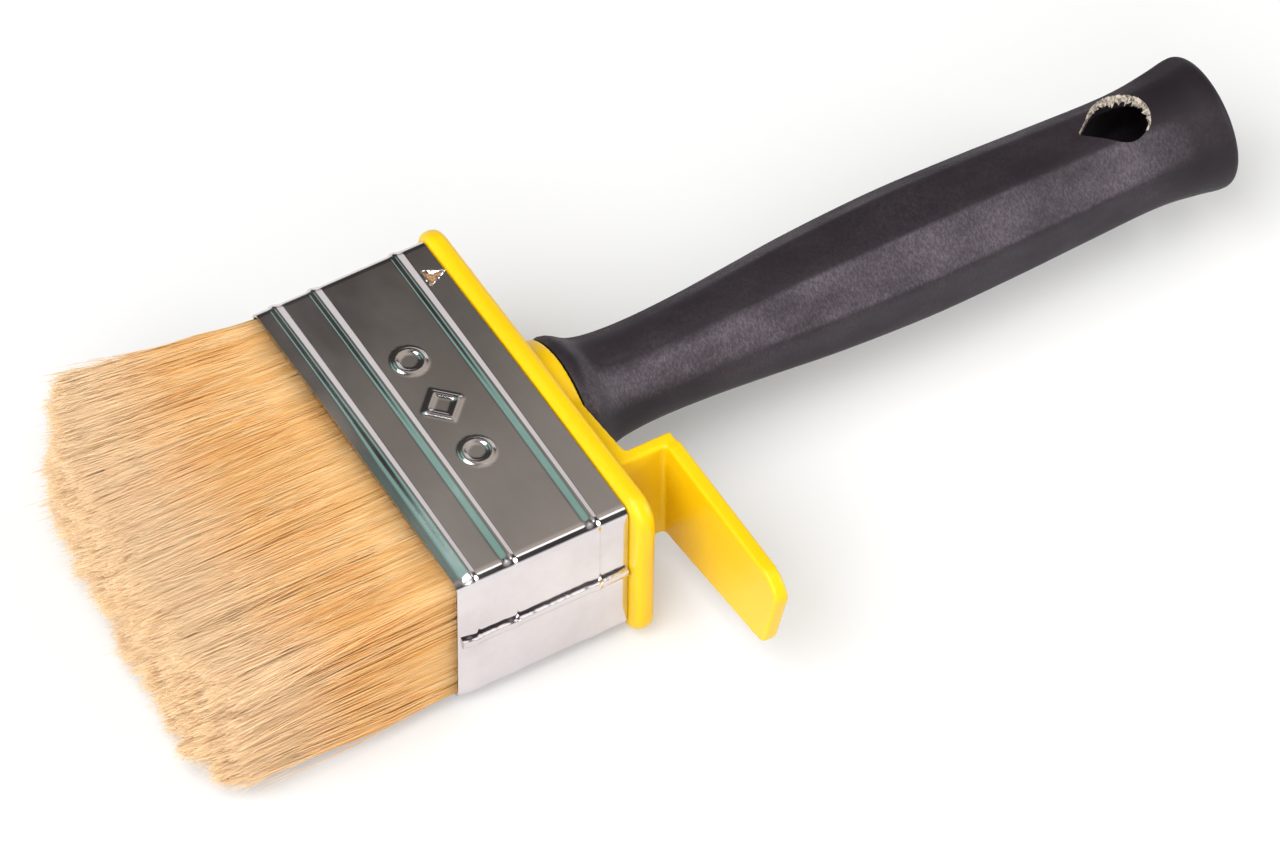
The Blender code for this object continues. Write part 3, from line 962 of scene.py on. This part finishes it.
def strandCentres(y0, z0, rng, wild=1.0, first=0.0, rings=None):
    # (strands, rings, 3) centre points in brush millimetres
    form = bristleForm
    rings = rings or form.rings
    count = len(y0)
    clumpRng = np.random.default_rng(5)
    clumpY = clumpRng.uniform(-34, 34, form.clumps)
    clumpZ = clumpRng.uniform(-14, 14, form.clumps)
    drift = clumpRng.normal(0, form.clumpDrift, (form.clumps, 2))
    clumpReach = clumpRng.normal(0, form.clumpReach, form.clumps)
    own = ((y0[:, None] - clumpY) ** 2 + (z0[:, None] - clumpZ) ** 2).argmin(axis=1)
    s = np.linspace(first, 1, rings)[None, :]
    scatter = rng.normal(0, form.tipScatter, count) * wild
    xTip = -(tipReach(y0, z0) + clumpReach[own] + scatter)
    # a few strands broke off or were set short
    broken = rng.random(count) < form.brokenShare
    xTip = np.where(broken, xTip + rng.uniform(*form.brokenLoss, count), xTip)
    x = form.rootX + (xTip - form.rootX)[:, None] * s
    spreadY, spreadZ = spreadAt(y0[:, None], z0[:, None], s)
    pull = rng.uniform(*form.clumpPull, count)[:, None] * s**2
    bend = rng.normal(0, form.bend, (count, 2)) * wild
    loose = rng.random(count) < form.looseShare
    bend = np.where(loose[:, None], bend * form.looseBend, bend)
    wave = rng.normal(0, form.wave, (count, 2)) * wild
    phase = rng.uniform(0, 6.28, (count, 1))
    swing = (np.sin(phase + 5.5 * s) - np.sin(phase)) * np.minimum(s * 3, 1)
    y = spreadY + (clumpY[own] - y0)[:, None] * pull + (drift[own, 0] + bend[:, 0])[:, None] * s**1.7
    z = spreadZ + (clumpZ[own] - z0)[:, None] * pull
    z = z + (drift[own, 1] * 0.6 + bend[:, 1] * 0.6)[:, None] * s**1.7
    y = y + wave[:, :1] * swing
    z = z + wave[:, 1:] * swing * 0.8
    return np.stack([x, y, z], axis=-1), own


def strandMesh(name, centres, tone, radii, along=None):
    # three-sided tapering tubes, closed at the root and drawn to a point at the tip
    form = bristleForm
    count, rings, _ = centres.shape
    if along is None:
        along = np.linspace(0, 1, rings)
    s = along[None, :, None]
    taper = 1 - (1 - form.tipRadius / form.rootRadius) * np.clip((s - 0.35) / 0.65, 0, 1) ** 1.5
    radius = radii[:, None, None] * taper
    turn = (np.arange(3) * 2 * math.pi / 3)[None, None, :] + (np.arange(count) * 2.4)[:, None, None]
    points = np.repeat(centres[:, :, None, :], 3, axis=2)
    points[..., 1] += radius * np.cos(turn)
    points[..., 2] += radius * np.sin(turn)
    tips = centres[:, -1] + (centres[:, -1] - centres[:, -2]) * 0.08
    perStrand = rings * 3 + 1
    everything = np.concatenate([points.reshape(count, rings * 3, 3), tips[:, None]], axis=1)
    placed = (everything.reshape(-1, 3) + np.array([mouthX, middleY, middleZ])) * mm
    quads = []
    for ring in range(rings - 1):
        for k in range(3):
            a, b = ring * 3 + k, ring * 3 + (k + 1) % 3
            quads.append((a, b, b + 3, a + 3))
    lastRing = (rings - 1) * 3
    triangles = [(0, 2, 1)] + [(lastRing + k, lastRing + (k + 1) % 3, rings * 3) for k in range(3)]
    offset = (np.arange(count) * perStrand)[:, None, None]
    allQuads = (np.array(quads)[None] + offset).reshape(-1, 4)
    allTriangles = (np.array(triangles)[None] + offset).reshape(-1, 3)
    mesh = meshFromArrays(name, placed, allQuads[:, ::-1], allTriangles[:, ::-1])
    whole = np.concatenate([np.repeat(along, 3), [1.0]])
    for kind, values in (("tone", np.repeat(tone, perStrand)), ("along", np.tile(whole, count))):
        made = mesh.attributes.new(kind, "FLOAT", "POINT")
        made.data.foreach_set("value", values.astype(np.float32))
    mesh.shade_smooth()
    return mesh


def toneOf(own, rng):
    # clumps share a tone, and a few strands are darker
    clumpTone = np.random.default_rng(9).normal(0.55, 0.085, bristleForm.clumps)
    tone = clumpTone[own] + rng.normal(0, 0.14, len(own))
    tone = np.where(rng.random(len(own)) < 0.08, tone - 0.28, tone)
    return np.clip(tone, 0.0, 1.0)


def scatterRoots(zLow, zHigh, yLow, yHigh, count, rng):
    # more than half of the strands are near the outer faces, where they are seen
    form = bristleForm
    y = rng.uniform(yLow, yHigh, count)
    z = rng.uniform(zLow, zHigh, count)
    outer = form.mouthHalfThickness
    wide = form.mouthHalfWidth
    near = rng.random(count)
    top, bottom, nearSide, farSide = form.closeShares
    depth = rng.exponential(form.faceDepth, count)
    if zHigh >= outer - 0.01:
        z = np.where(near < top, np.clip(outer - depth, zLow, zHigh), z)
    if zLow <= -outer + 0.01:
        z = np.where(near < bottom, np.clip(-outer + depth, zLow, zHigh), z)
    sideways = rng.random(count)
    if yLow <= -wide + 0.01:
        inwards = rng.exponential(form.sideDepth, count)
        y = np.where(sideways < nearSide, np.clip(-wide + inwards, yLow, yHigh), y)
    if yHigh >= wide - 0.01:
        inwards = rng.exponential(form.sideDepth, count)
        y = np.where(sideways > 1 - farSide, np.clip(wide - inwards, yLow, yHigh), y)
    # the corners of the mouth are round
    corner = form.mouthCorner
    overY = np.abs(y) - (wide - corner)
    overZ = np.abs(z) - (outer - corner)
    outside = (overY > 0) & (overZ > 0) & (overY**2 + overZ**2 > corner**2)
    return y[~outside], z[~outside]


def hairPiece(name, mesh, finish):
    # adds a piece of the tuft, with its place baked into its mesh
    piece = addObject(name, mesh, finish)
    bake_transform(piece)
    return piece


def makeBristles(hair):
    form = bristleForm
    for number, (name, row) in enumerate(form.rows.items()):
        node, zLow, zHigh, yLow, yHigh, count = row
        rng = np.random.default_rng(100 + number)
        y0, z0 = scatterRoots(zLow, zHigh, yLow, yHigh, count, rng)
        centres, own = strandCentres(y0, z0, rng)
        radii = form.rootRadius * rng.uniform(0.75, 1.2, len(y0))
        piece = hairPiece(name, strandMesh(name, centres, toneOf(own, rng), radii), hair)
        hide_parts(node)
        print("bristles:", name, len(y0), "strands")


def makeStrays(hair):
    # single hairs that lie across the others on the broad faces
    form = bristleForm
    rng = np.random.default_rng(77)
    count = form.strays
    y0 = rng.uniform(-33, 33, count)
    side = np.where(rng.random(count) < 0.65, 1.0, -1.0)
    z0 = side * (form.mouthHalfThickness - 0.25)
    centres, _ = strandCentres(y0, z0, rng)
    s = np.linspace(0, 1, form.rings)[None, :]
    centres[..., 1] += (rng.normal(0, form.straySweep, count)[:, None]) * s**1.5
    centres[..., 2] += side[:, None] * (0.3 + 0.4 * rng.random(count)[:, None]) * np.sin(s * 2.6)
    tone = np.clip(rng.normal(0.85, 0.1, count), 0, 1)
    mesh = strandMesh("strayBristles", centres, tone, np.full(count, form.strayRadius))
    hairPiece("strayBristles", mesh, hair)


def makeFlags(hair):
    # hog bristle splits at its tip: short fine ends that fan out of the outer few millimetres
    form = bristleForm
    rng = np.random.default_rng(63)
    count = form.flags
    wide, thick = form.mouthHalfWidth, form.mouthHalfThickness
    y0, z0 = scatterRoots(-thick, thick, -wide, wide, count, rng)
    count = len(y0)
    centres, _ = strandCentres(y0, z0, rng, 1.0, first=0.76, rings=4)
    fan = np.linspace(0, 1, 4)[None, :] ** 1.2
    for axis in (1, 2):
        centres[..., axis] += rng.normal(0, form.flagFan, count)[:, None] * fan
    centres[..., 0] -= rng.normal(0.1, 0.6, count)[:, None] * fan
    # the outer ends stay within the tuft's faces
    highest = thick * form.spreadUp + 0.25
    lowest = -thick * form.spreadDown - 0.25
    centres[..., 2] = np.clip(centres[..., 2], lowest, highest)
    tone = np.clip(rng.normal(0.85, 0.12, count), 0, 1)
    radii = np.full(count, form.flagRadius)
    along = np.linspace(0.78, 1.0, 4)
    hairPiece("flaggedTips", strandMesh("flaggedTips", centres, tone, radii, along), hair)


def makeInnerTips(hair):
    # the ends of the strands in the middle of the tuft, seen only from its end
    form = bristleForm
    rng = np.random.default_rng(29)
    count = form.innerTips
    wide, thick = form.mouthHalfWidth - 0.5, form.mouthHalfThickness - 0.55
    y0 = rng.uniform(-wide, wide, count)
    z0 = rng.uniform(-thick, thick, count)
    centres, own = strandCentres(y0, z0, rng, 1.3, first=0.7, rings=3)
    radii = rng.uniform(*form.innerRadii, count)
    along = np.linspace(0.7, 1.0, 3)
    hairPiece("innerTips", strandMesh("innerTips", centres, toneOf(own, rng), radii, along), hair)


def makeHeart(finish):
    # the middle of the tuft, hidden a little below the outer strands
    form = bristleForm
    bm = bmesh.new()
    bmesh.ops.create_cube(bm, size=1.0)
    bmesh.ops.subdivide_edges(bm, edges=bm.edges, cuts=31, use_grid_fill=True)
    along = bm.verts.layers.float.new("along")
    sideInset, faceInset, tipInset, hollowInset = form.heartInset
    for vert in bm.verts:
        u, v, w = vert.co.x + 0.5, vert.co.y * 2, vert.co.z * 2
        y = v * (form.mouthHalfWidth - sideInset)
        z = w * (form.mouthHalfThickness - faceInset)
        # the end of the packing is hollowed, so that the tips stand well clear of it
        hollow = hollowInset * (1 - max(abs(v), abs(w)) ** 4)
        tip = -(float(tipReach(y, z)) - tipInset - hollow)
        x = 1.0 + (tip - 1.0) * u
        ripple = 0.35 * noise.noise(Vector((x * 0.04, y * 0.9, z * 0.9)))
        # the packing thins towards the tips
        thin = 1 - 0.06 * u**2
        vert.co = (x, *(float(v) * thin + ripple for v in spreadAt(y, z, u)))
        vert[along] = u
    heart = hairPiece("bristleHeart", meshFromBm(bm, "bristleHeart"), finish)
    heart.data.shade_smooth()


def finishNode(node, finish):
    # a hidden piece keeps its own solid and only gets a better finish
    obj = bpy.data.objects[node]
    obj.data.materials.clear()
    obj.data.materials.append(finish)


viewForm = SimpleNamespace(
    azimuth=-31.118,
    elevation=49.926,
    roll=0.81,
    distance=1703.0,
    lens=281.25,
    aim=(60.0, 0.0, 0.0),
    across=-3.762,
    up=-9.507,
)


def makeCamera():
    azimuth = math.radians(viewForm.azimuth)
    elevation = math.radians(viewForm.elevation)
    roll = math.radians(viewForm.roll)
    back = Vector((
        math.sin(azimuth) * math.cos(elevation),
        -math.cos(azimuth) * math.cos(elevation),
        math.sin(elevation),
    ))
    level = Vector((0, 0, 1)).cross(back).normalized()
    upright = back.cross(level)
    right = level * math.cos(roll) + upright * math.sin(roll)
    up = upright * math.cos(roll) - level * math.sin(roll)
    data = bpy.data.cameras.new("camera")
    data.sensor_width = 36.0
    data.lens = viewForm.lens
    data.clip_start = 0.05
    data.clip_end = 30.0
    camera = addObject("camera", data)
    offset = right * viewForm.across + up * viewForm.up + back * viewForm.distance
    camera.location = at(*viewForm.aim) + offset * mm
    camera.rotation_mode = "QUATERNION"
    camera.rotation_quaternion = Matrix((right, up, back)).transposed().to_quaternion()
    bpy.context.scene.camera = camera


def softLight(name, place, size, power, colour):
    # a flat lamp that faces the middle of the brush
    data = bpy.data.lights.new(name, "AREA")
    data.shape = "RECTANGLE"
    data.size, data.size_y = size
    data.energy = power
    data.color = colour
    light = addObject(name, data)
    light.location = place
    light.rotation_mode = "QUATERNION"
    light.rotation_quaternion = Vector(place).to_track_quat("Z", "Y")


lightForm = SimpleNamespace(
    air=(0.05, 0.046, 0.044),
    floorReach=(0.3, 1.4),
    floorGlow=(0.2, 0.95),
    # direction, half angle of the even part, half angle where it ends, radiance
    patches=(
        ((0.0, 0.0, -1.0), 96, 113, (1.0, 1.0, 1.0)),
        ((-0.62, -0.45, 0.64), 10, 52, (1.15, 1.14, 1.12)),
        ((0.42, 0.22, 0.88), 4, 28, (0.58, 0.54, 0.47)),
        ((-0.1, 0.55, 0.83), 8, 14, (0.3, 0.53, 0.46)),
        ((0.68, 0.56, 0.46), 7, 12, (0.95, 0.93, 0.92)),
        ((0.327, -0.16, 0.93), 8, 12, (1.9, 1.9, 1.9)),
    ),
    floor=(0.52, 0.52, 0.52),
    # name, place, size, power, colour
    lamps=(
        ("keyLight", (-0.85, -0.1, 1.3), (1.5, 1.5), 31, (1, 1, 1)),
        ("frontLight", (-0.8, -1.15, 0.65), (1.2, 0.8), 14, (1.0, 0.97, 0.96)),
        ("rightLight", (1.3, -0.75, 0.8), (0.9, 0.8), 15, (1, 1, 1)),
    ),
)


def makeSky():
    # dim air over a bright ground, with a few soft cards for the tin to mirror
    world = bpy.data.worlds.new("studioAir")
    world.use_nodes = True
    tree = world.node_tree
    where = tree.nodes.new("ShaderNodeTexCoord")
    colour = lightForm.air
    for direction, inner, outer, radiance in lightForm.patches:
        spot = tree.nodes.new("ShaderNodeVectorMath")
        spot.operation = "DOT_PRODUCT"
        spot.inputs[1].default_value = Vector(direction).normalized()
        tree.links.new(where.outputs["Generated"], spot.inputs[0])
        fade = tree.nodes.new("ShaderNodeMapRange")
        fade.interpolation_type = "SMOOTHSTEP"
        edges = {"From Min": outer, "From Max": inner}
        setInputs(fade, {name: math.cos(math.radians(angle)) for name, angle in edges.items()})
        tree.links.new(spot.outputs["Value"], fade.inputs["Value"])
        colour = mixColours(tree, fade.outputs["Result"], colour, radiance)
    tree.links.new(colour, tree.nodes["Background"].inputs["Color"])
    bpy.context.scene.world = world


def makeStudio():
    bpy.context.scene.view_settings.view_transform = "Standard"
    bm = bmesh.new()
    bmesh.ops.create_grid(bm, x_segments=2, y_segments=2, size=6.0)
    floor = pieceFrom("floor", bm, place=False)
    finish, tree, shader = newFinish("floorPaper", lightForm.floor, 0.9)
    # the paper stays bright into the distance
    away = tree.nodes.new("ShaderNodeVectorMath")
    away.operation = "LENGTH"
    tree.links.new(coordinates(tree), away.inputs[0])
    low, high = lightForm.floorGlow
    start, end = lightForm.floorReach
    glow = rangeOf(tree, away.outputs["Value"], low, high, start, end)
    setInputs(shader, {"Specular IOR Level": 0.1, "Emission Color": (1, 1, 1, 1)})
    tree.links.new(glow, shader.inputs["Emission Strength"])
    floor.data.materials.append(finish)
    floor.location.z = -0.0004
    makeSky()
    for lamp in lightForm.lamps:
        softLight(*lamp)


def main():
    tin = tinplate()
    yellow = yellowPlastic()
    black = blackPlastic()
    hair = bristleHair()
    makeCamera()
    makeStudio()
    print("studio ready")
    makeHandle(black)
    makeHoleFlash(smallFinish("paleFlash"))
    print("handle ready")
    makeHead(yellow)
    print("head ready")
    triangle = makeFerrule(tin)
    makeSeam(tin)
    makeStake(triangle, tin, smallFinish("rustedEdge"))
    print("ferrule ready")
    makeBristles(hair)
    makeStrays(hair)
    makeFlags(hair)
    makeInnerTips(hair)
    makeHeart(bristleHeart())
    print("bristles ready")
    resin = smallFinish("castResin")
    wood = smallFinish("sawnWood")
    finishNode("setting_resin", resin)
    finishNode("spacer_strip_lower", wood)
    finishNode("spacer_strip_upper", wood)
    packed = bpy.data.materials["bristleHeart"]
    for row in ("bottom", "middle", "top"):
        finishNode(f"bristle_butts_{row}", packed)


main()
